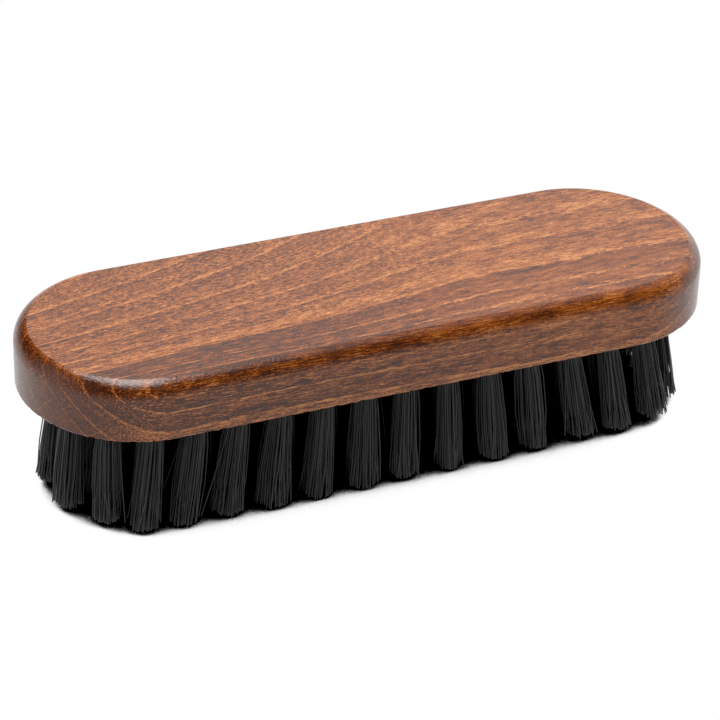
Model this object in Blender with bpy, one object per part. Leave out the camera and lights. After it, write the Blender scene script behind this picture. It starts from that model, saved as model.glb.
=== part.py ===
"""Hand brush for cleaning leather: a beech block drilled with blind holes, and a tuft of bristle set in each.

Units are metres, +Z is up and +X runs along the block. The origin is under the middle of the block, on the
plane that the bristle tips stand on. The near side of the brush is its -Y side.
"""

import math
from dataclasses import dataclass

import bmesh
import bpy
import numpy as np
from mathutils import Matrix, Vector

# The block: a bar with half-elliptic ends.
BLOCK_LENGTH = 0.150
BLOCK_WIDTH = 0.051
BLOCK_HEIGHT = 0.0133
BLOCK_END_REACH = 0.0242  # how far each rounded end runs past the straight sides
BLOCK_TOP_ROUND = 0.0044
BLOCK_BOTTOM_ARRIS = 0.0004
BLOCK_OUTLINE_SIDES = 78  # two more than a multiple of four, so that a corner lies at each end
BLOCK_ROUND_STEPS = 5

# Where the tufts stand, measured at the block's underside.
BRISTLE_REACH = 0.025  # from the block's underside down to the tips
RING_MARGIN = 0.0092  # from the block's side in to the middle of an outer hole
RING_TUFTS = 33
ROW_TUFTS = 11
ROW_FIRST_GAP = 3  # the gap of the ring, counted from its +X end, that the inner rows start at
ROW_OFFSET = 0.0055  # from the block's middle line to an inner row
LOOP_STEPS = 720

# How much farther from the middle the tips are than the roots, as shares of the root's own distance.
SPREAD_ALONG_SHARE = 0.06
SPREAD_ACROSS_SHARE = 0.10

# One tuft: a round root of folded bristle, held by a flat wire anchor, and the strands that leave it.
ROOT_RADIUS = 0.0021
ROOT_DEPTH = 0.0082  # how far the root reaches into the block
ROOT_STAND = 0.0004  # how far it shows under the block
ROOT_SIDES = 8
STRAND_ROOT_RADIUS = 0.00045
STRAND_TIP_RADIUS = 0.00075
STRAND_SIDES = 3
STRAND_BURY = 0.0008  # how far a strand starts inside the root
STRAND_EDGE = 0.00005  # between an outer strand and the root's side
TIP_RADIUS = 0.0032  # the tuft's own radius at its tips
TIP_DOME = 0.0012  # how much shorter the outer strands are than the middle one
TIP_CUT = 0.0005  # how much the floor plane cuts off the longest strands
RING_STRANDS_ROUND = 7  # strands round the middle one of an outer tuft
ROW_STRANDS_ROUND = 6
TUFT_TURN = math.radians(25)  # each tuft is turned this much from its neighbour

ANCHOR_LENGTH = 0.0052
ANCHOR_HEIGHT = 0.0016
ANCHOR_THICKNESS = 0.0004

# The gap that is left between a root or an anchor and the wood round it.
SEAT_CLEARANCE = 0.0003
HOLE_SIDES = 12
CUT_OVERRUN = 0.001

WOOD_COLOR = (0.118, 0.041, 0.016, 1.0)
WOOD_ROUGHNESS = 0.3
BRISTLE_COLOR = (0.008, 0.008, 0.009, 1.0)
BRISTLE_ROUGHNESS = 0.45

STRAIGHT_HALF = BLOCK_LENGTH / 2 - BLOCK_END_REACH
UNDERSIDE = BRISTLE_REACH


def clear_scene():
    """Remove whatever objects the file holds."""
    for obj in list(bpy.data.objects):
        bpy.data.objects.remove(obj, do_unlink=True)


def new_collection(name):
    collection = bpy.data.collections.new(name)
    bpy.context.scene.collection.children.link(collection)
    return collection


def new_material(name, color, roughness):
    material = bpy.data.materials.new(name)
    material.use_nodes = True
    material.diffuse_color = color
    shader = material.node_tree.nodes["Principled BSDF"]
    shader.inputs["Base Color"].default_value = color
    shader.inputs["Roughness"].default_value = roughness
    shader.inputs["Metallic"].default_value = 0.0
    return material


def new_object(name, mesh_maker, collection, material=None):
    """Turn a bmesh into an object. The bmesh is freed."""
    mesh = bpy.data.meshes.new(name)
    mesh_maker.to_mesh(mesh)
    mesh_maker.free()
    if material:
        mesh.materials.append(material)
    obj = bpy.data.objects.new(name, mesh)
    collection.objects.link(obj)
    return obj


def shade_round(obj, crease_angle=math.radians(40)):
    obj.data.shade_smooth()
    obj.data.set_sharp_from_angle(angle=crease_angle)


def new_helper(name, mesh_maker, cutters, frame=Matrix()):
    """An object that only cuts or joins, and is no part of the brush."""
    obj = new_object(name, mesh_maker, cutters)
    obj.matrix_world = frame
    obj.hide_render = True
    obj.display_type = "WIRE"
    return obj


def add_boolean(obj, operation, other):
    modifier = obj.modifiers.new(other.name, "BOOLEAN")
    modifier.operation = operation
    modifier.solver = "EXACT"
    modifier.object = other


def ring_line(inset):
    """The loop that runs inside the block's outline, as points, with the length run at each of them.

    It starts at the +X end and goes round by the near side.
    """
    angles = np.linspace(0.0, 2.0 * math.pi, LOOP_STEPS, endpoint=False) + math.pi / LOOP_STEPS
    along = (BLOCK_END_REACH - inset) * np.cos(angles) + np.copysign(STRAIGHT_HALF, np.cos(angles))
    across = -(BLOCK_WIDTH / 2 - inset) * np.sin(angles)
    start = (STRAIGHT_HALF + BLOCK_END_REACH - inset, 0.0)
    points = np.vstack([start, np.column_stack([along, across]), start])
    run = np.concatenate([[0.0], np.cumsum(np.hypot(*np.diff(points, axis=0).T))])
    return points, run


def ring_place(step):
    """The place on the outer ring that is this many pitches from its +X end."""
    points, run = ring_line(RING_MARGIN)
    at = step * run[-1] / RING_TUFTS
    return np.interp(at, run, points[:, 0]), np.interp(at, run, points[:, 1])


@dataclass(frozen=True)
class Tuft:
    """One tuft: where its root stands under the block, and how many strands stand round its middle one."""

    name: str
    along: float
    across: float
    strands_round: int

    def axis(self):
        """From the tuft's tip up to its root. The tips are spread wider than the roots."""
        return Vector((-self.along * SPREAD_ALONG_SHARE, -self.across * SPREAD_ACROSS_SHARE, BRISTLE_REACH))

    def frame(self):
        """The tuft's own frame: its origin is in the mouth of its hole, and its Z axis runs up the hole."""
        lean = Vector((0.0, 0.0, 1.0)).rotation_difference(self.axis())
        return Matrix.Translation((self.along, self.across, UNDERSIDE)) @ lean.to_matrix().to_4x4()


def plan_tufts():
    """Every tuft: the outer ring, two straight rows half a pitch off it, and one at each end of them."""
    tufts = []
    for number in range(RING_TUFTS):
        tufts.append(Tuft(f"ring_tuft_{number + 1:02d}", *ring_place(number), RING_STRANDS_ROUND))
    row = [ring_place(ROW_FIRST_GAP + number + 0.5)[0] for number in range(ROW_TUFTS)]
    for side, across in (("near", -ROW_OFFSET), ("far", ROW_OFFSET)):
        for number, along in enumerate(row):
            tufts.append(Tuft(f"{side}_row_tuft_{number + 1:02d}", along, across, ROW_STRANDS_ROUND))
    pitch = (row[0] - row[-1]) / (ROW_TUFTS - 1)
    tufts.append(Tuft("right_end_tuft", row[0] + pitch, 0.0, ROW_STRANDS_ROUND))
    tufts.append(Tuft("left_end_tuft", row[-1] - pitch, 0.0, ROW_STRANDS_ROUND))
    return tufts


def add_rod(mesh_maker, sides, bottom, top, bottom_radius, top_radius, turn=0.0, frame=Matrix()):
    """Add a straight rod between two points of a frame, with its ends square to it."""
    axis = top - bottom
    lean = Vector((0.0, 0.0, 1.0)).rotation_difference(axis).to_matrix().to_4x4()
    place = frame @ Matrix.Translation((bottom + top) / 2) @ lean @ Matrix.Rotation(turn, 4, "Z")
    bmesh.ops.create_cone(
        mesh_maker,
        cap_ends=True,
        segments=sides,
        radius1=bottom_radius,
        radius2=top_radius,
        depth=axis.length,
        matrix=place,
    )


def add_box(mesh_maker, size, place):
    bmesh.ops.create_cube(mesh_maker, size=1.0, matrix=place @ Matrix.Diagonal((*size, 1.0)))


def anchor_place():
    """The middle of an anchor, in its tuft's frame: flush with the root's inner end."""
    return Matrix.Translation((0.0, 0.0, ROOT_DEPTH - ANCHOR_HEIGHT / 2))


def strand_ends(tuft):
    """The two ends of each strand of a tuft, in the tuft's frame, and its turn: the middle strand first."""
    top = STRAND_BURY - ROOT_STAND
    reach = tuft.axis().length + TIP_CUT
    root_ring = ROOT_RADIUS * math.cos(math.pi / ROOT_SIDES) - STRAND_EDGE - STRAND_ROOT_RADIUS
    tip_ring = TIP_RADIUS - STRAND_TIP_RADIUS
    ends = [(Vector((0.0, 0.0, top)), Vector((0.0, 0.0, -reach)), 0.0)]
    for number in range(tuft.strands_round):
        angle = 2.0 * math.pi * number / tuft.strands_round
        out = Vector((math.cos(angle), math.sin(angle), 0.0))
        root = out * root_ring + Vector((0.0, 0.0, top))
        tip = out * tip_ring + Vector((0.0, 0.0, TIP_DOME - reach))
        ends.append((root, tip, angle))
    return ends


def cut_at_floor(maker, frame):
    """Cut off what would reach below the floor, and close the cuts. The bmesh is in the tuft's frame."""
    to_tuft = frame.inverted()
    cut = bmesh.ops.bisect_plane(
        maker,
        geom=maker.verts[:] + maker.edges[:] + maker.faces[:],
        plane_co=to_tuft @ Vector((frame.translation.x, frame.translation.y, 0.0)),
        plane_no=to_tuft.to_3x3() @ Vector((0.0, 0.0, -1.0)),
        clear_outer=True,
    )
    rim = [item for item in cut["geom_cut"] if isinstance(item, bmesh.types.BMEdge)]
    bmesh.ops.holes_fill(maker, edges=rim, sides=0)
    bmesh.ops.recalc_face_normals(maker, faces=maker.faces[:])


def make_strands(tuft, turn, cutters):
    """The strands of one tuft, as a helper that is joined to the tuft's root."""
    maker = bmesh.new()
    for root, tip, angle in strand_ends(tuft):
        add_rod(maker, STRAND_SIDES, tip, root, STRAND_TIP_RADIUS, STRAND_ROOT_RADIUS, angle)
    maker.transform(Matrix.Rotation(turn, 4, "Z"))
    cut_at_floor(maker, tuft.frame())
    return new_helper(f"{tuft.name}_strands", maker, cutters, tuft.frame())


def make_anchor(tuft, cutters):
    """The flat wire across the tuft's fold, which bites into the wood at both sides."""
    maker = bmesh.new()
    add_box(maker, (ANCHOR_THICKNESS, ANCHOR_LENGTH, ANCHOR_HEIGHT), anchor_place())
    return new_helper(f"{tuft.name}_anchor", maker, cutters, tuft.frame())


def make_tuft(tuft, turn, parts, cutters, material):
    """One tuft as a single body: its root, with the strands and the anchor joined to it."""
    maker = bmesh.new()
    bottom = Vector((0.0, 0.0, -ROOT_STAND))
    top = anchor_place().translation
    # Half a side's turn lets the anchor come out of the middle of a side.
    add_rod(maker, ROOT_SIDES, bottom, top, ROOT_RADIUS, ROOT_RADIUS, math.pi / ROOT_SIDES)
    obj = new_object(tuft.name, maker, parts, material)
    obj.matrix_world = tuft.frame()
    add_boolean(obj, "UNION", make_strands(tuft, turn, cutters))
    add_boolean(obj, "UNION", make_anchor(tuft, cutters))
    return obj


def make_hole_cutters(tufts, cutters):
    """The drilled holes, and the slots that the anchors cut at their inner ends."""
    holes = bmesh.new()
    slots = bmesh.new()
    gap = 2 * SEAT_CLEARANCE
    slot_size = (ANCHOR_THICKNESS + gap, ANCHOR_LENGTH + gap, ANCHOR_HEIGHT + gap)
    hole_radius = (ROOT_RADIUS + SEAT_CLEARANCE) / math.cos(math.pi / HOLE_SIDES)
    mouth = Vector((0.0, 0.0, -CUT_OVERRUN))
    end = Vector((0.0, 0.0, ROOT_DEPTH + SEAT_CLEARANCE))
    for tuft in tufts:
        add_rod(holes, HOLE_SIDES, mouth, end, hole_radius, hole_radius, frame=tuft.frame())
        add_box(slots, slot_size, tuft.frame() @ anchor_place())
    return new_helper("hole_cutter", holes, cutters), new_helper("slot_cutter", slots, cutters)


def make_block(tufts, parts, cutters, material):
    """The wooden block, with its rounded top edge and a hole for each tuft."""
    maker = bmesh.new()
    bmesh.ops.create_cone(
        maker,
        cap_ends=True,
        segments=BLOCK_OUTLINE_SIDES,
        radius1=1.0,
        radius2=1.0,
        depth=1.0,
        matrix=Matrix.Rotation(math.pi / BLOCK_OUTLINE_SIDES, 4, "Z"),
    )
    # No corner lies on the line across the middle, so the two ends are pulled apart there.
    widen = 1 / math.cos(math.pi / BLOCK_OUTLINE_SIDES)
    for corner in maker.verts:
        end = math.copysign(STRAIGHT_HALF, corner.co.x)
        corner.co.x = corner.co.x * BLOCK_END_REACH + end
        corner.co.y = corner.co.y * widen * BLOCK_WIDTH / 2
        corner.co.z = corner.co.z * BLOCK_HEIGHT + UNDERSIDE + BLOCK_HEIGHT / 2
    middle = UNDERSIDE + BLOCK_HEIGHT / 2
    for above, width, steps in ((True, BLOCK_TOP_ROUND, BLOCK_ROUND_STEPS), (False, BLOCK_BOTTOM_ARRIS, 1)):
        rim = [
            edge
            for edge in maker.edges
            if all((corner.co.z > middle) == above for corner in edge.verts)
            and max(len(face.verts) for face in edge.link_faces) == BLOCK_OUTLINE_SIDES
        ]
        bmesh.ops.bevel(
            maker, geom=rim, offset=width, segments=steps, profile=0.5, affect="EDGES", clamp_overlap=True
        )
    block = new_object("beech_block", maker, parts, material)
    shade_round(block)
    for cutter in make_hole_cutters(tufts, cutters):
        add_boolean(block, "DIFFERENCE", cutter)
    return block


def build():
    clear_scene()
    parts = new_collection("leather_brush")
    cutters = new_collection("cutters")
    wood = new_material("stained_beech", WOOD_COLOR, WOOD_ROUGHNESS)
    bristle = new_material("black_bristle", BRISTLE_COLOR, BRISTLE_ROUGHNESS)
    brush = bpy.data.objects.new("brush", None)
    parts.objects.link(brush)
    tufts = plan_tufts()
    made = [make_block(tufts, parts, cutters, wood)]
    for number, tuft in enumerate(tufts):
        made.append(make_tuft(tuft, number * TUFT_TURN, parts, cutters, bristle))
    for obj in made:
        obj.parent = brush


build()
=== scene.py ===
"""Hand brush for cleaning leather, finished and lit for its picture.

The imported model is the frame: a beech block and 57 bristle tufts. Each of its solids gets a finer piece
that stands for it. Lengths are in metres, and in millimetres where a name ends in _mm. +X runs along the
block, -Y is its near side, and the bristle tips stand on Z = 0.
"""

import sys

import logging
import math
from collections.abc import Iterator
from dataclasses import dataclass, field
from enum import Enum
from typing import NamedTuple

import bmesh
import bpy
import numpy as np
from mathutils import Matrix, Vector, noise


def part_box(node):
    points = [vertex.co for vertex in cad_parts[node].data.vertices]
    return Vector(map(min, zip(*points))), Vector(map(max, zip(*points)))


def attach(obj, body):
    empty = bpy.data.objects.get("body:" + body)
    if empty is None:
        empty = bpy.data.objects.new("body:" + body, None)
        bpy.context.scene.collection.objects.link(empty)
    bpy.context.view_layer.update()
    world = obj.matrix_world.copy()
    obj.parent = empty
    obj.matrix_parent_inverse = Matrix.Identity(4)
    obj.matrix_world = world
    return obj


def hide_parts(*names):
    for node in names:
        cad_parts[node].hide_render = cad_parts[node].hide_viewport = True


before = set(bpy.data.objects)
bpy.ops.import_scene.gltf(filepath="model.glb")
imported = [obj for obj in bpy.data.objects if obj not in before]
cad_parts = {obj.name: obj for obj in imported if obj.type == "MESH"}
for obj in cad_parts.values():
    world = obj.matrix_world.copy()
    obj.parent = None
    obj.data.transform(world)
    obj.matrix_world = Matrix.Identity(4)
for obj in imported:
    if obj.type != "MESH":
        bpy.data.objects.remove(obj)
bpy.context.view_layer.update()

LOG = logging.getLogger("leather_brush")
BODY = "root"
MM = 0.001
UP = Vector((0.0, 0.0, 1.0))
GOLDEN_ANGLE = math.pi * (3 - math.sqrt(5))
NOISE_MIDDLE = 0.5  # what a noise is on the whole
FIRST_SEED = 175  # the tufts' random draws count on from here
SANDED = 0.0005  # how far the sanded top lies under the CAD block's
# The kinds of node that are used most, and settings that several nodes share.
MATH = "ShaderNodeMath"
VECTOR_MATH = "ShaderNodeVectorMath"
MAP_RANGE = "ShaderNodeMapRange"
EASED = {"interpolation_type": "SMOOTHSTEP"}
TIMES = {"operation": "MULTIPLY"}
TIMES_PLUS = {"operation": "MULTIPLY_ADD"}
MINUS = {"operation": "SUBTRACT"}
LARGER = {"operation": "MAXIMUM"}

Tree = bpy.types.NodeTree
Node = bpy.types.Node
NodeValue = Node | bpy.types.NodeSocket  # a node stands for its first output
Colour = tuple[float, float, float, float]
Span = tuple[float, float]  # where something starts and where it is full
Stop = tuple[float, float]  # a place on a ramp and the level there


def linear(hex_colour: str) -> Colour:
    """Turn an sRGB colour into the linear one that the shaders take.

    Args:
        hex_colour: the colour as six hex digits after a hash.

    Returns:
        Red, green, blue and an alpha of one.
    """
    channels = [int(hex_colour[at : at + 2], 16) / 255 for at in (1, 3, 5)]
    # The numbers of the curve are the sRGB standard's.
    red, green, blue = (c / 12.92 if c <= 0.04045 else ((c + 0.055) / 1.055) ** 2.4 for c in channels)
    return red, green, blue, 1.0


def grey(level: float) -> Colour:
    """Give the grey of a level."""
    return level, level, level, 1.0


def add_node(
    tree: Tree,
    kind: str,
    settings: dict[str, object] | None = None,
    inputs: dict[str | int, object] | None = None,
) -> Node:
    """Add one node to a tree, with its settings and its links.

    Args:
        tree: the tree that takes the node.
        kind: the node's type, as Blender names it.
        settings: the node's own properties. "stops" gives a ramp its places and colours.
        inputs: a value, or the node or socket to link, for each input by its name or number.

    Returns:
        The new node.
    """
    node = tree.nodes.new(kind)
    for name, value in (settings or {}).items():
        if name != "stops":
            setattr(node, name, value)
            continue
        ramp = node.color_ramp.elements
        for number, (place, colour) in enumerate(value):
            stop = ramp[number] if number < len(ramp) else ramp.new(place)
            stop.position = place
            stop.color = colour
    for name, value in (inputs or {}).items():
        if isinstance(value, Node):
            value = value.outputs[0]
        if isinstance(value, bpy.types.NodeSocket):
            tree.links.new(value, node.inputs[name])
        else:
            node.inputs[name].default_value = value
    return node


def new_tree(owner: bpy.types.Material | bpy.types.World) -> Tree:
    """Give a material or a world an empty node tree.

    Args:
        owner: the material or world.

    Returns:
        Its tree.
    """
    owner.use_nodes = True
    owner.node_tree.nodes.clear()
    return owner.node_tree


def new_piece(name: str, mesh: bpy.types.Mesh, material: bpy.types.Material) -> bpy.types.Object:
    """Make an object of a mesh, in one material.

    Args:
        name: the object's name.
        mesh: its mesh, in the frame's own place.
        material: its finish.

    Returns:
        The object, linked to the scene.
    """
    mesh.materials.append(material)
    piece = bpy.data.objects.new(name, mesh)
    bpy.context.scene.collection.objects.link(piece)
    return piece


def stand_for(piece: bpy.types.Object, node: str) -> None:
    """Let a piece stand for a CAD node and ride on its body.

    Args:
        piece: the piece.
        node: the node that it hides.
    """
    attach(piece, BODY)
    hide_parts(node)
    LOG.info("%s: %d faces, stands for %s", piece.name, len(piece.data.polygons), node)


class Lumps(NamedTuple):
    """How large the lumps of a pattern in the wood are, in mm, and how many finer layers they carry."""

    along: float  # along the grain
    through: float  # through the rings
    across: float  # along the rings
    layers: float


class TonePart(NamedTuple):
    """How much a part of the wood's figure adds to its tone.

    Each share names a mask, and says how much of the part shows where that is 0 and where it is 1.
    """

    part: str
    weight: float
    shares: tuple[tuple[str, float, float], ...] = ()


@dataclass(frozen=True)
class StainedBeech:
    """Beech, sawn with its growth rings at 45 degrees, stained brown and sprayed with a satin lacquer.

    The stain sinks into the open early wood and leaves the dense late wood pale, so each ring ends in a thin
    orange line. Short dark flecks are the wood's rays and pores. The lacquer gives a soft, slightly broken
    shine, and lies thick on the round edge, where its amber shows.
    """

    tone_hexes: tuple[str, ...] = ("#3C1808", "#6B330D", "#944C1A", "#AF6B36", "#D0894D")
    tone_places: tuple[float, ...] = (0.0, 0.25, 0.5, 0.75, 1.0)
    amber_hex: str = "#FFF9B0"
    left_amber: float = 0.35  # how much of it shows at the left
    speck_hex: str = "#E8D2B4"
    speck_mm: float = 8.0  # how far apart the specks of dust are
    speck_share: float = 0.013  # a speck's radius as a share of that
    ior: float = 1.5
    lacquer_roughness: float = 0.1
    pore_roughness: float = 0.18
    pore_span: Span = (0.65, 0.35)  # what the mottle is at the lacquer's smoothest and roughest
    relief_mm: float = 0.065  # how deep the dimples of the sprayed lacquer are
    # The rings. A line of the ring pattern lies where the depth is constant.
    drift: float = 0.1296  # how fast the rings climb across the block along its length
    drift_fan: float = 0.0049  # how much more they climb, for each mm across
    drift_start_mm: float = -75.0  # where along the block the climb starts
    drift_end_mm: float = 20.0  # and where it ends
    drift_ease_mm: float = 15.0  # how gently it ends
    curve: float = 0.0028  # how much the rings bend round the far-off pith
    inner_ring_mm: float = 6.2  # how wide the ring at no depth is
    ring_narrowing: float = 0.1  # how much narrower the rings get, for each mm of depth
    ring_offset: float = 0.1  # how much of a year has passed there
    wide_year_mm: Span = (24.5, 32.4)  # where the rings are wider than their neighbours
    wide_year: float = 0.72  # how much less of a year passes there
    # Through a year, from 0 to 1: how much paler its wood gets, and how strong the line at its end is.
    year_shades: tuple[Stop, ...] = ((0.0, 0.1), (0.05, 0.0), (0.4, 0.12), (0.85, 0.2), (1.0, 0.22))
    year_lines: tuple[Stop, ...] = ((0.0, 0.3), (0.03, 0.0), (0.88, 0.0), (0.95, 1.0), (1.0, 0.8))
    # The patterns. Real pores are 0.1 mm across. They are drawn at 0.3 mm, the least that the picture shows.
    wander: Lumps = Lumps(60.0, 22.0, 22.0, layers=1.0)
    wander_reach_mm: float = 0.8
    ripple: Lumps = Lumps(4.0, 1.0, 1.0, layers=2.0)
    ripple_reach_mm: Span = (0.14, 1.5)  # from the left to the right
    fray: Lumps = Lumps(1.2, 0.35, 0.35, layers=1.0)
    fray_reach_mm: Span = (0.1, 0.8)
    reach_growth_mm: Span = (-25.0, 50.0)  # between which places along the block those two grow
    streaks: Lumps = Lumps(14.0, 0.7, 4.0, layers=3.0)
    blotch: Lumps = Lumps(8.0, 1.6, 5.0, layers=2.0)
    fibre: Lumps = Lumps(3.0, 0.24, 0.24, layers=2.0)
    mottle: Lumps = Lumps(0.6, 0.26, 0.26, layers=2.0)
    fleck: Lumps = Lumps(1.8, 6.0, 0.28, layers=1.0)
    ray: Lumps = Lumps(3.0, 30.0, 0.45, layers=1.0)
    line_break: Lumps = Lumps(7.0, 2.0, 2.0, layers=1.0)
    peel: Lumps = Lumps(0.5, 0.3, 0.3, layers=1.0)
    layer_roughness: float = 0.6  # how strong the finer layers are
    fibre_weight: float = 1.6  # the fibre's part in the fine grain, against the mottle's
    # Where each mask goes from 0 to 1: first by the place along the block, then by the depth of the rings,
    # then by how strong a pattern is, and last by how far the surface faces along, across or up.
    right_mm: Span = (-40.0, 40.0)
    left_mm: Span = (65.0, -35.0)
    streak_mm: Span = (25.4, 27.2)
    dark_mm: Span = (28.3, 28.6)
    deep_mm: Span = (34.0, 34.8)
    fleck_span: Span = (0.56, 0.72)
    ray_span: Span = (0.66, 0.74)
    unbroken_span: Span = (0.36, 0.5)
    end_grain_facing: Span = (0.2, 0.75)
    side_facing: Span = (0.5, 0.95)
    flat_facing: Span = (0.3, 0.9)
    tilted_facing: Span = (0.96, 0.78)
    base_tone: float = 0.3
    tone_parts: tuple[TonePart, ...] = (
        TonePart(
            "fine",
            1.5,
            (
                ("right", 1.1, 0.85), ("side", 1.0, 1.2), ("end_grain", 1.0, 0.95),
                ("right_side", 1.0, 0.8), ("right_end", 1.0, 0.33), ("dark_top", 1.0, 0.75),
            ),
        ),
        TonePart("fleck", -1.0, (("side", 0.18, 0.4), ("dark_top", 1.0, 0.5))),
        TonePart("streaks", 0.55),
        TonePart("blotch", 1.0, (("right", 0.35, 0.8), ("edge", 1.0, 1.7))),
        TonePart("ray", 0.3, (("end_grain", 0.0, 1.0),)),
        # The rings are plain on the left and broken by blotches on the right. End grain shows only lines.
        TonePart("shade", 1.0, (("right", 0.62, 0.5), ("end_grain", 1.0, 0.0))),
        TonePart(
            "line",
            0.3,
            (
                ("unbroken", 0.5, 1.0), ("end_grain", 1.0, 1.2), ("side", 1.0, 2.0),
                ("right_side", 1.0, 0.75), ("left_deep", 1.0, 0.25), ("dark_top", 1.0, 1.6),
            ),
        ),
        TonePart("streak", 0.22, (("left", 0.0, 1.0), ("end_grain", 1.0, 0.0), ("side", 1.0, 0.25))),
        TonePart("dark", -1.0, (("right", 0.21, 0.09), ("flat", 0.74, 1.0))),
        # The round edge cuts the fibres and takes more stain at the ends, most of all at the left one.
        TonePart("edge", -0.22, (("end_grain", 0.0, 1.0), ("right", 1.0, 0.36))),
        TonePart("end_grain", -0.2),
        TonePart("side", 0.015),
        TonePart("right", 0.132),
    )

    def material(self, underside: float) -> bpy.types.Material:
        """Make the finish.

        Args:
            underside: the height of the block's underside, from which the rings are measured.

        Returns:
            The material.
        """
        made = bpy.data.materials.new("stained_beech")
        tree = new_tree(made)
        coords = add_node(tree, "ShaderNodeTexCoord").outputs
        place = self.wandering_place(tree, coords["Object"], underside)
        space, along, depth = self.ring_space(tree, place)
        mottle = self.lumps(tree, space, self.mottle)
        masks = self.masks(tree, along, depth, coords["Normal"])
        tone = self.tone(tree, masks | self.figure(tree, space, depth, masks["dark"], mottle))
        start, full = self.pore_span
        sheen = {0: mottle, 1: start, 2: full, 3: self.lacquer_roughness, 4: self.pore_roughness}
        rough = add_node(tree, MAP_RANGE, EASED, sheen)
        peel = self.lumps(tree, space, self.peel)
        bump = add_node(tree, "ShaderNodeBump", inputs={"Distance": self.relief_mm * MM, "Height": peel})
        shader = add_node(
            tree,
            "ShaderNodeBsdfPrincipled",
            inputs={
                "Base Color": self.colour(tree, coords["Object"], tone, masks),
                "Roughness": rough,
                "IOR": self.ior,
                "Normal": bump,
            },
        )
        add_node(tree, "ShaderNodeOutputMaterial", inputs={"Surface": shader})
        return made

    def lumps(self, tree: Tree, space: NodeValue, size: Lumps) -> Node:
        """Fill the wood with lumps of a real size.

        Args:
            tree: the tree that takes the nodes.
            space: the place, in mm.
            size: how large the lumps are.

        Returns:
            How strong the pattern is, about 0 to 1. Its second output holds three such values.
        """
        spread = (size.along, size.through, size.across)
        scaled = add_node(tree, VECTOR_MATH, {"operation": "DIVIDE"}, {0: space, 1: spread})
        grain = {"Vector": scaled, "Scale": 1.0, "Detail": size.layers, "Roughness": self.layer_roughness}
        return add_node(tree, "ShaderNodeTexNoise", inputs=grain)

    def wandering_place(self, tree: Tree, place: NodeValue, underside: float) -> Node:
        """Measure places in mm over the underside, and move them a little so that the grain wanders.

        Args:
            tree: the tree that takes the nodes.
            place: the place in metres.
            underside: the height of the block's underside.

        Returns:
            The place in mm.
        """
        over_underside = {0: place, 1: (1 / MM,) * 3, 2: (0.0, 0.0, -underside / MM)}
        place_mm = add_node(tree, VECTOR_MATH, TIMES_PLUS, over_underside)
        wander = self.lumps(tree, place_mm, self.wander).outputs[1]
        reach = self.wander_reach_mm
        moves = {0: wander, 1: (0.0, 2 * reach, 2 * reach), 2: place_mm}
        moved = add_node(tree, VECTOR_MATH, TIMES_PLUS, moves)
        return add_node(tree, VECTOR_MATH, MINUS, {0: moved, 1: (0.0, reach, reach)})

    def ring_space(self, tree: Tree, place: NodeValue) -> tuple[Node, bpy.types.NodeSocket, Node]:
        """Turn places to the wood's own directions: along the grain, through the rings, and along them.

        Args:
            tree: the tree that takes the nodes.
            place: the place, in mm.

        Returns:
            The place in those directions, its part along the grain, and its depth with the rings' ripples.
        """
        along, across, height = add_node(tree, "ShaderNodeSeparateXYZ", inputs={0: place}).outputs
        climb = {0: along, 1: self.drift_end_mm, 2: self.drift_ease_mm}
        run = add_node(tree, MATH, {"operation": "SMOOTH_MIN"}, climb)
        run = add_node(tree, MATH, MINUS, {0: run, 1: self.drift_start_mm})
        lean = add_node(tree, MATH, TIMES_PLUS, {0: across, 1: self.drift_fan, 2: self.drift})
        through = add_node(tree, MATH, MINUS, {0: height, 1: across})
        sloped = add_node(tree, MATH, TIMES_PLUS, {0: run, 1: lean, 2: through})
        level = add_node(tree, MATH, {"operation": "ADD"}, {0: height, 1: across})
        square = add_node(tree, MATH, TIMES, {0: level, 1: level})
        depth = add_node(tree, MATH, TIMES_PLUS, {0: square, 1: self.curve, 2: sloped})
        space = add_node(tree, "ShaderNodeCombineXYZ", inputs={0: along, 1: depth, 2: level})
        start, full = self.reach_growth_mm
        for size, (left_reach, right_reach) in (
            (self.ripple, self.ripple_reach_mm),
            (self.fray, self.fray_reach_mm),
        ):
            ripple = self.lumps(tree, space, size)
            ripple = add_node(tree, MATH, MINUS, {0: ripple, 1: NOISE_MIDDLE})
            growth = {0: along, 1: start, 2: full, 3: 2 * left_reach, 4: 2 * right_reach}
            reach = add_node(tree, MAP_RANGE, EASED, growth)
            depth = add_node(tree, MATH, TIMES_PLUS, {0: ripple, 1: reach, 2: depth})
        return space, along, depth

    def masks(self, tree: Tree, along: NodeValue, depth: NodeValue, normal: NodeValue) -> dict[str, Node]:
        """Work out where each region of the block is, from 0 to 1.

        Args:
            tree: the tree that takes the nodes.
            along: the place along the grain, in mm.
            depth: the place through the rings, in mm.
            normal: the way that the surface faces.

        Returns:
            The mask of each region, by its name.
        """
        masks = {}
        for name, value, (start, full) in (
            ("right", along, self.right_mm),
            ("left", along, self.left_mm),
            ("dark", depth, self.dark_mm),
            ("deep", depth, self.deep_mm),
        ):
            masks[name] = add_node(tree, MAP_RANGE, EASED, {0: value, 1: start, 2: full})
        ends, sides, up = add_node(tree, "ShaderNodeSeparateXYZ", inputs={0: normal}).outputs
        for name, way, (start, full) in (
            ("end_grain", ends, self.end_grain_facing),
            ("side", sides, self.side_facing),
            ("flat", up, self.flat_facing),
            ("tilted", up, self.tilted_facing),
        ):
            size = add_node(tree, MATH, {"operation": "ABSOLUTE"}, {0: way})
            masks[name] = add_node(tree, MAP_RANGE, EASED, {0: size, 1: start, 2: full})
        for name, one, other in (
            ("edge", "flat", "tilted"),
            ("right_end", "end_grain", "right"),
            ("right_side", "side", "right"),
            ("left_side", "side", "left"),
            ("left_deep", "left_side", "deep"),
            ("dark_top", "flat", "dark"),
        ):
            masks[name] = add_node(tree, MATH, TIMES, {0: masks[one], 1: masks[other]})
        return masks

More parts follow.
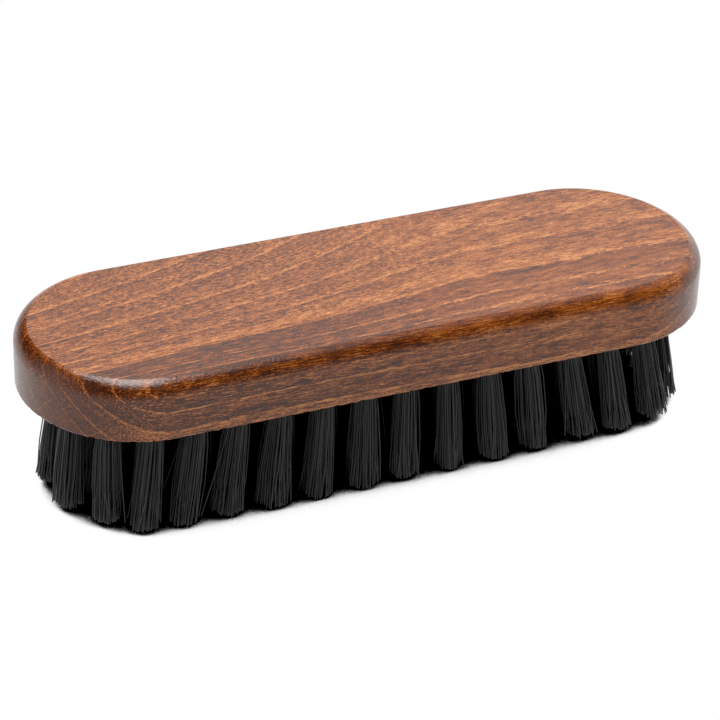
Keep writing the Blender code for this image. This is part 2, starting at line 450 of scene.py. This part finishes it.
    def figure(
        self, tree: Tree, space: NodeValue, depth: NodeValue, dark: NodeValue, mottle: NodeValue
    ) -> dict[str, Node]:
        """Make the parts of the wood's figure.

        Args:
            tree: the tree that takes the nodes.
            space: the place in the wood's own directions, in mm.
            depth: the place through the rings, in mm.
            dark: the mask of the dark wood, where the pale streak ends.
            mottle: the mottle's pattern.

        Returns:
            The parts by their names.
        """
        parts = {}
        for name, size, (start, full) in (
            ("fleck", self.fleck, self.fleck_span),
            ("ray", self.ray, self.ray_span),
            ("unbroken", self.line_break, self.unbroken_span),
        ):
            value = self.lumps(tree, space, size)
            parts[name] = add_node(tree, MAP_RANGE, EASED, {0: value, 1: start, 2: full})
        start, full = self.streak_mm
        streak = add_node(tree, MAP_RANGE, EASED, {0: depth, 1: start, 2: full})
        parts["streak"] = add_node(tree, MATH, MINUS, {0: streak, 1: dark})
        for name, value in (
            ("fibre", self.lumps(tree, space, self.fibre)),
            ("streaks", self.lumps(tree, space, self.streaks)),
            ("blotch", self.lumps(tree, space, self.blotch)),
            ("mottle", mottle),
        ):
            parts[name] = add_node(tree, MATH, MINUS, {0: value, 1: NOISE_MIDDLE})
        fine = {0: parts["fibre"], 1: self.fibre_weight, 2: parts["mottle"]}
        parts["fine"] = add_node(tree, MATH, TIMES_PLUS, fine)
        parts["shade"], parts["line"] = self.year(tree, depth)
        return parts

    def year(self, tree: Tree, depth: NodeValue) -> tuple[Node, ...]:
        """Work out a year's growth.

        Args:
            tree: the tree that takes the nodes.
            depth: the place through the rings, in mm.

        Returns:
            How much paler its wood gets from its dark start, and the thin pale line at its end.
        """
        width = {0: depth, 1: -self.ring_narrowing / self.inner_ring_mm, 2: 1.0}
        width = add_node(tree, MATH, TIMES_PLUS, width)
        log = add_node(tree, MATH, {"operation": "LOGARITHM"}, {0: width, 1: math.e})
        count = {0: log, 1: -1 / self.ring_narrowing, 2: self.ring_offset}
        count = add_node(tree, MATH, TIMES_PLUS, count)
        start, full = self.wide_year_mm
        wide = add_node(tree, MAP_RANGE, EASED, {0: depth, 1: start, 2: full, 4: self.wide_year})
        count = add_node(tree, MATH, MINUS, {0: count, 1: wide})
        season = add_node(tree, MATH, {"operation": "FRACT"}, {0: count})
        ramps = []
        for levels in (self.year_shades, self.year_lines):
            stops = [(at, grey(level)) for at, level in levels]
            ramps.append(add_node(tree, "ShaderNodeValToRGB", {"stops": stops}, {0: season}))
        return tuple(ramps)

    def tone(self, tree: Tree, parts: dict[str, Node]) -> Node:
        """Work out how dark or pale the stained wood is.

        Args:
            tree: the tree that takes the nodes.
            parts: the parts of the figure and the masks, by their names.

        Returns:
            The tone, from 0 to 1.
        """
        total = self.base_tone
        for name, weight, shares in self.tone_parts:
            part = parts[name]
            for mask, off, on in shares:
                share = add_node(tree, MAP_RANGE, inputs={0: parts[mask], 3: off, 4: on})
                part = add_node(tree, MATH, TIMES, {0: part, 1: share})
            total = add_node(tree, MATH, TIMES_PLUS, {0: part, 1: weight, 2: total})
        return total

    def colour(
        self, tree: Tree, place: NodeValue, tone: NodeValue, masks: dict[str, Node]
    ) -> bpy.types.NodeSocket:
        """Turn a tone into the stain's colour.

        Args:
            tree: the tree that takes the nodes.
            place: the place in metres.
            tone: how dark or pale the wood is.
            masks: where the block's regions are.

        Returns:
            The colour, with the lacquer's amber and a rare pale speck of dust.
        """
        stops = [(at, linear(tint)) for at, tint in zip(self.tone_places, self.tone_hexes)]
        stain = add_node(tree, "ShaderNodeValToRGB", {"stops": stops}, {0: tone})
        thick = add_node(tree, MAP_RANGE, inputs={0: masks["right"], 3: self.left_amber})
        thick = add_node(tree, MATH, TIMES, {0: thick, 1: masks["edge"]})
        amber = add_node(
            tree,
            "ShaderNodeMix",
            {"data_type": "RGBA", "blend_type": "MULTIPLY"},
            {0: thick, 6: stain, 7: linear(self.amber_hex)},
        )
        density = 1 / (self.speck_mm * MM)
        dust = add_node(tree, "ShaderNodeTexVoronoi", inputs={"Vector": place, "Scale": density})
        speck = add_node(tree, MATH, {"operation": "LESS_THAN"}, {0: dust, 1: self.speck_share})
        return add_node(
            tree,
            "ShaderNodeMix",
            {"data_type": "RGBA"},
            {0: speck, 6: amber.outputs[2], 7: linear(self.speck_hex)},
        ).outputs[2]


@dataclass(frozen=True)
class BlackNylon:
    """Nylon, dyed black and drawn through a die into straight monofilament.

    It is nearly black, and each filament is smooth enough to carry one thin grey line of light.
    """

    dark_hex: str = "#060607"
    light_hex: str = "#141415"
    dye_span: Span = (0.35, 0.7)  # what the noise is at the dark and at the light colour
    dye_layers: float = 1.0
    patch_mm: float = 0.6
    patch_stretch: float = 50.0  # how much longer a patch is along the filaments than across them
    ior: float = 1.53
    roughness: float = 0.36

    def material(self) -> bpy.types.Material:
        """Make the finish.

        Returns:
            The material.
        """
        made = bpy.data.materials.new("black_nylon")
        tree = new_tree(made)
        coords = add_node(tree, "ShaderNodeTexCoord")
        stretch = (1.0, 1.0, 1 / self.patch_stretch)
        stretched = add_node(tree, VECTOR_MATH, TIMES, {0: coords.outputs["Object"], 1: stretch})
        patches = {"Vector": stretched, "Scale": 1 / (self.patch_mm * MM), "Detail": self.dye_layers}
        dye = add_node(tree, "ShaderNodeTexNoise", inputs=patches)
        stops = list(zip(self.dye_span, (linear(self.dark_hex), linear(self.light_hex))))
        colour = add_node(tree, "ShaderNodeValToRGB", {"stops": stops}, {0: dye})
        shader = add_node(
            tree,
            "ShaderNodeBsdfPrincipled",
            inputs={"Base Color": colour, "Roughness": self.roughness, "IOR": self.ior},
        )
        add_node(tree, "ShaderNodeOutputMaterial", inputs={"Surface": shader})
        return made


@dataclass(frozen=True)
class WhitePaper:
    """A roll of matt white paper as the floor. The camera sees it glowing white, save for a painted shadow.
    """

    paper_hex: str = "#E4E4E4"
    painted_shadow_reach: float = 0.035
    painted_shadow_span: Span = (0.36, 0.48)  # how open the floor is where it is black and where it is white
    shadow_samples: int = 32

    def material(self) -> bpy.types.Material:
        """Make the finish.

        Returns:
            The material.
        """
        made = bpy.data.materials.new("white_paper")
        tree = new_tree(made)
        rays = add_node(tree, "ShaderNodeLightPath").outputs
        seen = rays["Is Camera Ray"]
        for other in ("Is Glossy Ray", "Is Transmission Ray"):
            seen = add_node(tree, MATH, LARGER, {0: seen, 1: rays[other]})
        samples = {"samples": self.shadow_samples}
        open_sky = add_node(tree, "ShaderNodeAmbientOcclusion", samples, {"Distance": self.painted_shadow_reach})
        # The shadow is painted: the white glow fades to black where ambient occlusion finds the brush close
        # over the floor.
        black, white = self.painted_shadow_span
        shade = add_node(tree, MAP_RANGE, EASED, {0: open_sky.outputs["AO"], 1: black, 2: white})
        bright = add_node(tree, "ShaderNodeEmission", inputs={"Color": shade})
        paper = add_node(tree, "ShaderNodeBsdfDiffuse", inputs={"Color": linear(self.paper_hex)})
        mixed = add_node(tree, "ShaderNodeMixShader", inputs={0: seen, 1: paper, 2: bright})
        add_node(tree, "ShaderNodeOutputMaterial", inputs={"Surface": mixed})
        return made


@dataclass(frozen=True)
class BlockShape:
    """The block's shape: a bar with half-elliptic ends, rounded along the top and nearly sharp below."""

    length: float
    width: float
    underside: float
    top: float
    end_reach: float = 0.0242  # how long each end is
    round_in: float = 0.00285
    round_down: float = 0.0039
    crease: float = math.radians(20)  # the angle at which the round edge meets the top
    bottom_arris: float = 0.0004

    @property
    def straight_half(self) -> float:
        """Half the length of the straight sides."""
        return self.length / 2 - self.end_reach

    def loop(self, inset: float, steps: int) -> np.ndarray:
        """Find points of the outline, moved in square to it.

        Args:
            inset: how far they are moved in.
            steps: how many points there are, at equal angles of the ends.

        Returns:
            One row for each point: along and across.
        """
        # Half a step off the middle lines, so that each point belongs to one end.
        angles = np.linspace(0.0, 2 * math.pi, steps, endpoint=False) + math.pi / steps
        cosine, sine = np.cos(angles), np.sin(angles)
        reach, half = self.end_reach, self.width / 2
        outward = np.column_stack([cosine / reach, sine / half])
        outward /= np.linalg.norm(outward, axis=1)[:, None]
        edge = np.column_stack([reach * cosine + np.copysign(self.straight_half, cosine), half * sine])
        return edge - outward * inset


@dataclass
class BeechBlock:
    """The wooden block, with a drilled hole for each tuft and a lower edge that is a little ragged."""

    shape: BlockShape
    finish: StainedBeech
    hole_radius: float = 0.0023
    hole_depth: float = 0.0085
    hole_sides: int = 32
    end_steps: int = 240
    side_steps: int = 170
    round_steps: int = 16
    wall_steps: int = 5
    arris_steps: int = 3
    support: float = 0.0004  # how far an extra row of points lies from an edge, to keep its shading even
    crease_support: float = 0.00015
    ragged_reach: float = 0.0002
    ragged_length: float = 0.0011
    sharp_angle: float = math.radians(15)

    def outline(self) -> tuple[np.ndarray, np.ndarray]:
        """Work out the outline.

        Returns:
            Points round the block, and their outward directions.
        """
        shape = self.shape
        angles = np.linspace(-math.pi / 2, math.pi / 2, self.end_steps + 1)
        end = np.column_stack([shape.end_reach * np.cos(angles), shape.width / 2 * np.sin(angles)])
        outward = np.column_stack([np.cos(angles) / shape.end_reach, np.sin(angles) / (shape.width / 2)])
        outward /= np.linalg.norm(outward, axis=1)[:, None]
        right = end + (shape.straight_half, 0.0)
        left = -end - (shape.straight_half, 0.0)
        side = np.linspace(shape.straight_half, -shape.straight_half, self.side_steps + 1)[1:-1]
        half = shape.width / 2
        far = np.column_stack([side, np.full(len(side), half)])
        near = np.column_stack([-side, np.full(len(side), -half)])
        up = np.tile((0.0, 1.0), (len(side), 1))
        points = np.vstack([right, far, left, near])
        directions = np.vstack([outward, up, -outward, -up])
        return points, directions

    def profile(self) -> list[tuple[float, float]]:
        """Work out the side's section.

        Returns:
            An inset and a height for each step, from the underside up.
        """
        shape = self.shape
        arris = shape.bottom_arris
        steps = [(arris + self.support, shape.underside)]
        for turn in np.linspace(0.0, math.pi / 2, self.arris_steps + 1):
            steps.append((arris * (1 - math.sin(turn)), shape.underside + arris * (1 - math.cos(turn))))
        low, high = steps[-1][1], shape.top - shape.round_down
        steps += [(0.0, height) for height in np.linspace(low, high, self.wall_steps + 1)[1:-1]]
        # The round edge is part of an ellipse. It meets the sanded top at a slight crease.
        slope = math.tan(shape.crease)
        cut = slope / (shape.round_down / shape.round_in - slope)
        across, down = shape.round_in / (1 - cut), shape.round_down / math.sqrt(1 - cut * cut)
        for turn in np.linspace(0.0, math.acos(cut), self.round_steps + 1):
            steps.append((across * (1 - math.cos(turn)), high + down * math.sin(turn)))
        steps.append((shape.round_in + self.crease_support, shape.top))
        return steps

    def mesh(self) -> bpy.types.Mesh:
        """Make the solid block, before its holes.

        Returns:
            Its mesh.
        """
        points, directions = self.outline()
        maker = bmesh.new()
        rows = []
        for number, (inset, height) in enumerate(self.profile()):
            row = []
            for point, outward in zip(points, directions):
                x, y = point - outward * inset
                # The arris is the steps just over the first one. Only there is the edge ragged.
                torn = 0.0
                if 0 < number <= self.arris_steps:
                    torn = self.ragged_reach * noise.noise(Vector((x, y, 0.0)) / self.ragged_length)
                x, y = x - outward[0] * abs(torn), y - outward[1] * abs(torn)
                row.append(maker.verts.new((x, y, height + torn)))
            rows.append(row)
        count = len(points)
        for below, above in zip(rows, rows[1:]):
            for at in range(count):
                after = (at + 1) % count
                maker.faces.new((below[at], below[after], above[after], above[at]))
        maker.faces.new(rows[0][::-1])
        maker.faces.new(rows[-1])
        mesh = bpy.data.meshes.new("block")
        maker.to_mesh(mesh)
        maker.free()
        return mesh

    def drill(self, piece: bpy.types.Object, tufts: list["TuftPlace"]) -> None:
        """Cut a leaning hole for each tuft.

        Args:
            piece: the block.
            tufts: where the tufts stand.
        """
        maker = bmesh.new()
        for tuft in tufts:
            axis = tuft.axis().normalized()
            mouth = Vector((tuft.along, tuft.across, self.shape.underside))
            lean = UP.rotation_difference(axis).to_matrix().to_4x4()
            middle = mouth + axis * (self.hole_depth - self.support) / 2
            bmesh.ops.create_cone(
                maker,
                cap_ends=True,
                segments=self.hole_sides,
                radius1=self.hole_radius,
                radius2=self.hole_radius,
                depth=self.hole_depth + self.support,
                matrix=Matrix.Translation(middle) @ lean,
            )
        mesh = bpy.data.meshes.new("drill")
        maker.to_mesh(mesh)
        maker.free()
        drill = bpy.data.objects.new("drill", mesh)
        bpy.context.scene.collection.objects.link(drill)
        cut = piece.modifiers.new("holes", "BOOLEAN")
        cut.operation = "DIFFERENCE"
        cut.solver = "EXACT"
        cut.object = drill
        bpy.context.view_layer.update()
        drilled = piece.evaluated_get(bpy.context.evaluated_depsgraph_get())
        solid = piece.data
        piece.data = bpy.data.meshes.new_from_object(drilled)
        piece.modifiers.clear()
        bpy.data.meshes.remove(solid)
        bpy.data.objects.remove(drill)
        bpy.data.meshes.remove(mesh)

    def build(self, tufts: list["TuftPlace"]) -> bpy.types.Object:
        """Make the block in its finish.

        Args:
            tufts: where the tufts stand.

        Returns:
            The block.
        """
        piece = new_piece("lacquered_block", self.mesh(), self.finish.material(self.shape.underside))
        self.drill(piece, tufts)
        piece.data.shade_smooth()
        piece.data.set_sharp_from_angle(angle=self.sharp_angle)
        stand_for(piece, "beech_block")
        return piece


class Row(Enum):
    """Where a tuft stands."""

    RING = "ring_tuft"
    NEAR = "near_row_tuft"
    FAR = "far_row_tuft"
    RIGHT_END = "right_end_tuft"
    LEFT_END = "left_end_tuft"


@dataclass(frozen=True)
class TuftPlace:
    """One tuft's place: where its hole is in the underside, and how far its tips lean out from there."""

    row: Row
    number: int
    along: float
    across: float
    reach: float
    lean: float = 0.0
    lift: float = 0.0
    # How much farther out the tips stand than the hole, as shares of its place.
    spread_along: float = 0.06
    spread_across: float = 0.10

    @property
    def node(self) -> str:
        """The CAD node that holds the tuft."""
        alone = self.row in (Row.RIGHT_END, Row.LEFT_END)
        return self.row.value if alone else f"{self.row.value}_{self.number:02d}"

    def axis(self) -> Vector:
        """From the tuft's tips up to its root."""
        return Vector((-self.along * self.spread_along, -self.across * self.spread_across, self.reach))


@dataclass(frozen=True)
class TuftLayout:
    """The tufts' places: a ring inside the block's outline, two rows in it, and one more at each end."""

    shape: BlockShape
    ring_margin: float = 0.0092
    ring_count: int = 33
    row_count: int = 11
    row_first_pitch: float = 3.5  # how many pitches round the ring the rows start
    row_offset: float = 0.0055
    loop_steps: int = 720
    hidden_stride: int = 7
    # How far a ring tuft's tips lean along the block, and how high they end over the floor, from the +X end
    # by the near side. The photograph shows it, but for the first and the last, which are guessed. The tufts
    # past these take every seventh of them.
    leans_mm: tuple[tuple[float, float], ...] = (
        (-1.6, 1.0), (-0.9, 1.2), (0.1, 1.5), (0.4, 0.9), (1.4, 1.0), (0.5, 0.5), (0.5, 0.4),
        (0.0, 0.1), (-0.5, 0.2), (-0.4, 0.0), (-1.0, 0.0), (-1.4, 0.0), (-1.5, 0.3), (-1.0, 0.0),
        (0.1, 0.7), (2.2, 1.3), (2.0, 1.2), (1.6, 1.2), (1.2, 1.0),
    )

    def ring_place(self, pitches: float) -> tuple[float, float]:
        """Find a place on the ring.

        Args:
            pitches: how many pitches it is round the ring, from its +X end by the near side.

        Returns:
            The place along and across the block.
        """
        points = self.shape.loop(self.ring_margin, self.loop_steps) * (1.0, -1.0)
        start = (self.shape.straight_half + self.shape.end_reach - self.ring_margin, 0.0)
        points = np.vstack([start, points, start])
        run = np.concatenate([[0.0], np.cumsum(np.hypot(*np.diff(points, axis=0).T))])
        at = pitches * run[-1] / self.ring_count
        return float(np.interp(at, run, points[:, 0])), float(np.interp(at, run, points[:, 1]))

    def places(self) -> Iterator[TuftPlace]:
        """Go through the tufts' places.

        Returns:
            Each tuft's place in turn.
        """
        reach = self.shape.underside
        shown = len(self.leans_mm)
        for number in range(1, self.ring_count + 1):
            kind = number - 1 if number <= shown else number * self.hidden_stride % shown
            lean, lift = self.leans_mm[kind]
            place = self.ring_place(number - 1)
            yield TuftPlace(Row.RING, number, *place, reach, lean * MM, lift * MM)
        row = [self.ring_place(self.row_first_pitch + number)[0] for number in range(self.row_count)]
        for side, across in ((Row.NEAR, -self.row_offset), (Row.FAR, self.row_offset)):
            for number, along in enumerate(row):
                yield TuftPlace(side, number + 1, along, across, reach)
        pitch = (row[0] - row[-1]) / (self.row_count - 1)
        yield TuftPlace(Row.RIGHT_END, 1, row[0] + pitch, 0.0, reach)
        yield TuftPlace(Row.LEFT_END, 1, row[-1] - pitch, 0.0, reach)


@dataclass
class BristleTuft:
    """One tuft of straight nylon filaments, cut to a slightly domed and uneven end."""

    place: TuftPlace
    seed: int
    filaments: int = 150
    filament_radius: float = 0.00014
    radius_shares: Span = (0.85, 1.1)
    filament_sides: int = 5
    root_radius: float = 0.0021
    tip_radius: float = 0.0031
    root_depth: float = 0.0066
    flare_power: float = 1.1
    dome: float = 0.0004  # how much shorter the tuft is at its rim
    dome_power: float = 2.5
    dome_limit: float = 1.4  # past this share of the tip's radius it gets no shorter
    uneven: float = 0.00028
    wander: float = 0.0002  # how far a tip lies from its even place
    bow: float = 0.0004
    clumps: int = 14
    clump_reach: float = 0.0003
    strays: int = 4
    stray_reach: float = 0.0014
    path_shares: tuple[float, ...] = (0.0, 0.33, 0.68, 1.0)  # from the hole's mouth to the tip
    anchor_size: tuple[float, float, float] = (0.0004, 0.0052, 0.0016)
    sharp_angle: float = math.radians(80)

    def paths(self) -> tuple[np.ndarray, np.ndarray]:
        """Work out the filaments' middle lines.

        Returns:
            Each filament's place at each step, from inside the hole to the tip, and its radius.
        """
        rng = np.random.default_rng(self.seed)
        count = self.filaments
        order = np.arange(count)
        # The filaments fill the circle evenly, as a sunflower's seeds do.
        turn = order * GOLDEN_ANGLE + rng.uniform(0, 2 * math.pi)
        share = np.sqrt((order + 0.5) / count)
        out = np.column_stack([np.cos(turn), np.sin(turn)])
        radius = self.filament_radius * rng.uniform(*self.radius_shares, count)
        root = out * (share * (self.root_radius - self.filament_radius))[:, None]
        tip = out * (share * self.tip_radius)[:, None] + rng.normal(0.0, self.wander, (count, 2))
        centres = root[rng.choice(count, self.clumps, replace=False)]
        nearest = np.argmin(np.linalg.norm(root[:, None] - centres[None], axis=2), axis=1)
        tip += rng.normal(0.0, self.clump_reach, (self.clumps, 2))[nearest]
        loose = rng.choice(count, self.strays, replace=False)
        tip[loose] += rng.normal(0.0, self.stray_reach, (self.strays, 2))
        bow = rng.normal(0.0, self.bow, (count, 2))
        rim = np.minimum(np.linalg.norm(tip, axis=1) / self.tip_radius, self.dome_limit)
        short = self.dome * rim**self.dome_power + np.abs(rng.normal(0.0, self.uneven, count))
        short += np.abs(rng.normal(0.0, self.uneven, self.clumps))[nearest]
        axis = self.place.axis()
        down = np.array([-axis.x, -axis.y])
        lean = np.array([self.place.lean, 0.0])
        mouth = np.array([self.place.along, self.place.across])
        inside = self.root_depth / self.place.reach
        steps = []
        for step in (-inside, *self.path_shares):
            reach = max(step, 0.0)
            flare = reach**self.flare_power
            # The bow is at its full size halfway down.
            offset = root * (1 - flare) + tip * flare + bow * (4 * reach * (1 - reach))
            height = self.place.reach * (1 - step) + (short + self.place.lift) * reach
            steps.append(np.column_stack([mouth + down * step + lean * reach + offset, height]))
        return np.stack(steps, axis=1), radius

    def mesh(self) -> bpy.types.Mesh:
        """Make the filaments as closed tubes, and the flat wire that holds them in the hole.

        Returns:
            Their mesh.
        """
        paths, radius = self.paths()
        count, steps, _ = paths.shape
        sides = self.filament_sides
        angles = np.linspace(0.0, 2 * math.pi, sides, endpoint=False)
        circle = np.column_stack([np.cos(angles), np.sin(angles), np.zeros(sides)])
        points = paths[:, :, None, :] + circle[None, None] * radius[:, None, None, None]
        at = np.arange(count * steps * sides).reshape(count, steps, sides)
        after = np.roll(at, -1, axis=2)
        walls = np.stack([at[:, :-1], at[:, 1:], after[:, 1:], after[:, :-1]], axis=-1).reshape(-1, 4)
        tops = at[:, 0]
        tips = at[:, -1, ::-1]
        faces = walls.tolist() + tops.tolist() + tips.tolist()
        mesh = bpy.data.meshes.new(self.place.node)
        mesh.from_pydata(points.reshape(-1, 3).tolist(), [], faces)
        mesh.update()
        self.add_anchor(mesh)
        mesh.shade_smooth()
        mesh.set_sharp_from_angle(angle=self.sharp_angle)
        return mesh

    def add_anchor(self, mesh: bpy.types.Mesh) -> None:
        """Add the flat wire across the hole, past the filaments' inner ends.

        Real filaments fold round it. These are straight and end at it, out of sight.

        Args:
            mesh: the tuft's mesh, which takes it.
        """
        axis = self.place.axis()
        lean = UP.rotation_difference(axis).to_matrix().to_4x4()
        root = Vector((self.place.along, self.place.across, self.place.reach))
        middle = root + axis.normalized() * (self.root_depth + self.anchor_size[2] / 2)
        maker = bmesh.new()
        maker.from_mesh(mesh)
        fit = Matrix.Translation(middle) @ lean @ Matrix.Diagonal((*self.anchor_size, 1.0))
        bmesh.ops.create_cube(maker, size=1.0, matrix=fit)
        maker.to_mesh(mesh)
        maker.free()

    def build(self, material: bpy.types.Material) -> bpy.types.Object:
        """Make the tuft.

        Args:
            material: the filaments' finish.

        Returns:
            The tuft.
        """
        piece = new_piece(f"{self.place.node}_bristles", self.mesh(), material)
        stand_for(piece, self.place.node)
        return piece


@dataclass(frozen=True)
class PhotoCamera:
    """The camera, worked out from the block's outline in the photograph."""

    place: Vector = field(default_factory=lambda: Vector((-0.218249, -0.493631, 0.338216)))
    azimuth: float = math.radians(-23.751)
    elevation: float = math.radians(30.671)
    roll: float = math.radians(1.514)
    lens_mm: float = 149.39
    sensor_mm: float = 36.0

    def build(self) -> bpy.types.Object:
        """Make the camera and look through it.

        Returns:
            The camera.
        """
        back = Vector(
            (
                math.sin(self.azimuth) * math.cos(self.elevation),
                -math.cos(self.azimuth) * math.cos(self.elevation),
                math.sin(self.elevation),
            )
        )
        level = Vector((math.cos(self.azimuth), math.sin(self.azimuth), 0.0))
        over = back.cross(level)
        right = level * math.cos(self.roll) + over * math.sin(self.roll)
        up = over * math.cos(self.roll) - level * math.sin(self.roll)
        data = bpy.data.cameras.new("camera")
        data.lens = self.lens_mm
        data.sensor_width = self.sensor_mm
        camera = bpy.data.objects.new("camera", data)
        turned = Matrix((right, up, back)).transposed().to_4x4()
        camera.matrix_world = Matrix.Translation(self.place) @ turned
        bpy.context.scene.collection.objects.link(camera)
        bpy.context.scene.camera = camera
        return camera


@dataclass
class Studio:
    """The white floor, the soft box over the brush and the bright walls round it.

    Where a wall is bright is told by how far a direction points right (+X), away (+Y) or up, from -1 to 1.
    """

    floor_radius: float = 4.0
    floor_sides: int = 96
    box_place: Vector = field(default_factory=lambda: Vector((-0.12, 0.075, 1.04)))
    box_size: tuple[float, float] = (0.6, 0.73)
    box_turn: float = math.radians(10)
    box_radiance: float = 9.3
    front_level: float = 0.08
    wall_level: float = 1.07
    wall_away: Span = (-0.45, 0.35)
    ceiling_level: float = 0.85
    ceiling_least: float = 0.02
    ceiling_away: Span = (-0.38, -0.02)
    ceiling_up: Span = (0.55, 0.8)
    skirting_level: float = 0.5  # how much brighter the walls are low down, save on the left
    skirting_up: Span = (0.3, 0.05)
    left_span: Span = (-0.1, 0.25)  # where the left side ends. Its part of the ceiling is dark
    flag_away: Span = (0.45, 0.65)  # where a black flag starts that hides the left side's far walls

    def build(self) -> None:
        """Set the studio up."""
        self.add_floor()
        self.add_soft_box()
        self.add_walls()
        bpy.context.scene.view_settings.view_transform = "Standard"

    def add_floor(self) -> None:
        """Lay the floor under the tips."""
        maker = bmesh.new()
        bmesh.ops.create_circle(maker, cap_ends=True, segments=self.floor_sides, radius=self.floor_radius)
        mesh = bpy.data.meshes.new("floor")
        maker.to_mesh(mesh)
        maker.free()
        floor = new_piece("floor", mesh, WhitePaper().material())

    def add_soft_box(self) -> None:
        """Hang the soft box over the brush, left of its middle, so that its near left edge mirrors it."""
        lamp = bpy.data.lights.new("soft_box", "AREA")
        lamp.shape = "RECTANGLE"
        lamp.size, lamp.size_y = self.box_size
        lamp.energy = self.box_radiance * math.pi * lamp.size * lamp.size_y
        box = bpy.data.objects.new("soft_box", lamp)
        box.location = self.box_place
        box.rotation_euler.z = self.box_turn
        bpy.context.scene.collection.objects.link(box)

    def add_walls(self) -> None:
        """Light the far and right walls and the far ceiling, and keep the camera's side dark."""
        world = bpy.data.worlds.new("studio_walls")
        bpy.context.scene.world = world
        tree = new_tree(world)
        way = add_node(tree, "ShaderNodeTexCoord").outputs["Generated"]
        right, away, up = add_node(tree, "ShaderNodeSeparateXYZ", inputs={0: way}).outputs
        parts = []
        for value, (start, end), low, high in (
            (away, self.wall_away, self.front_level, self.wall_level),
            (away, self.ceiling_away, 0.0, self.ceiling_level),
            (up, self.ceiling_up, 0.0, 1.0),
            (right, self.left_span, 1.0, 0.0),
            (away, self.flag_away, 1.0, 0.0),
            (up, self.skirting_up, 0.0, self.skirting_level),
        ):
            fade = {0: value, 1: start, 2: end, 3: low, 4: high}
            parts.append(add_node(tree, MAP_RANGE, EASED, fade))
        walls, ceiling, overhead, left, beside, skirting = parts
        open_side = add_node(tree, MATH, MINUS, {0: 1.0, 1: left})
        walls = add_node(tree, MATH, TIMES_PLUS, {0: skirting, 1: open_side, 2: walls})
        flag = add_node(tree, "ShaderNodeMix", {"data_type": "FLOAT"}, {0: left, 2: 1.0, 3: beside})
        walls = add_node(tree, MATH, TIMES, {0: walls, 1: flag})
        ceiling = add_node(tree, MATH, TIMES_PLUS, {0: left, 1: -self.ceiling_level, 2: ceiling})
        ceiling = add_node(tree, MATH, LARGER, {0: ceiling, 1: self.ceiling_least})
        level = add_node(tree, "ShaderNodeMix", {"data_type": "FLOAT"}, {0: overhead, 2: walls, 3: ceiling})
        # The camera itself sees pure white.
        seen = add_node(tree, "ShaderNodeLightPath").outputs["Is Camera Ray"]
        strength = add_node(tree, "ShaderNodeMix", {"data_type": "FLOAT"}, {0: seen, 2: level, 3: 1.0})
        light = add_node(tree, "ShaderNodeBackground", inputs={"Strength": strength, "Color": grey(1.0)})
        add_node(tree, "ShaderNodeOutputWorld", inputs={"Surface": light})


def main() -> None:
    """Build the brush and its studio."""
    logging.basicConfig(level=logging.INFO, format="%(message)s", stream=sys.stdout)
    block_low, block_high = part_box("beech_block")
    shape = BlockShape(
        length=block_high.x - block_low.x,
        width=block_high.y - block_low.y,
        underside=block_low.z,
        top=block_high.z - SANDED,
    )
    PhotoCamera().build()
    Studio().build()
    places = list(TuftLayout(shape).places())
    BeechBlock(shape, StainedBeech()).build(places)
    nylon = BlackNylon().material()
    for number, place in enumerate(places):
        BristleTuft(place, seed=FIRST_SEED + number).build(nylon)


if __name__ == "__main__":
    main()
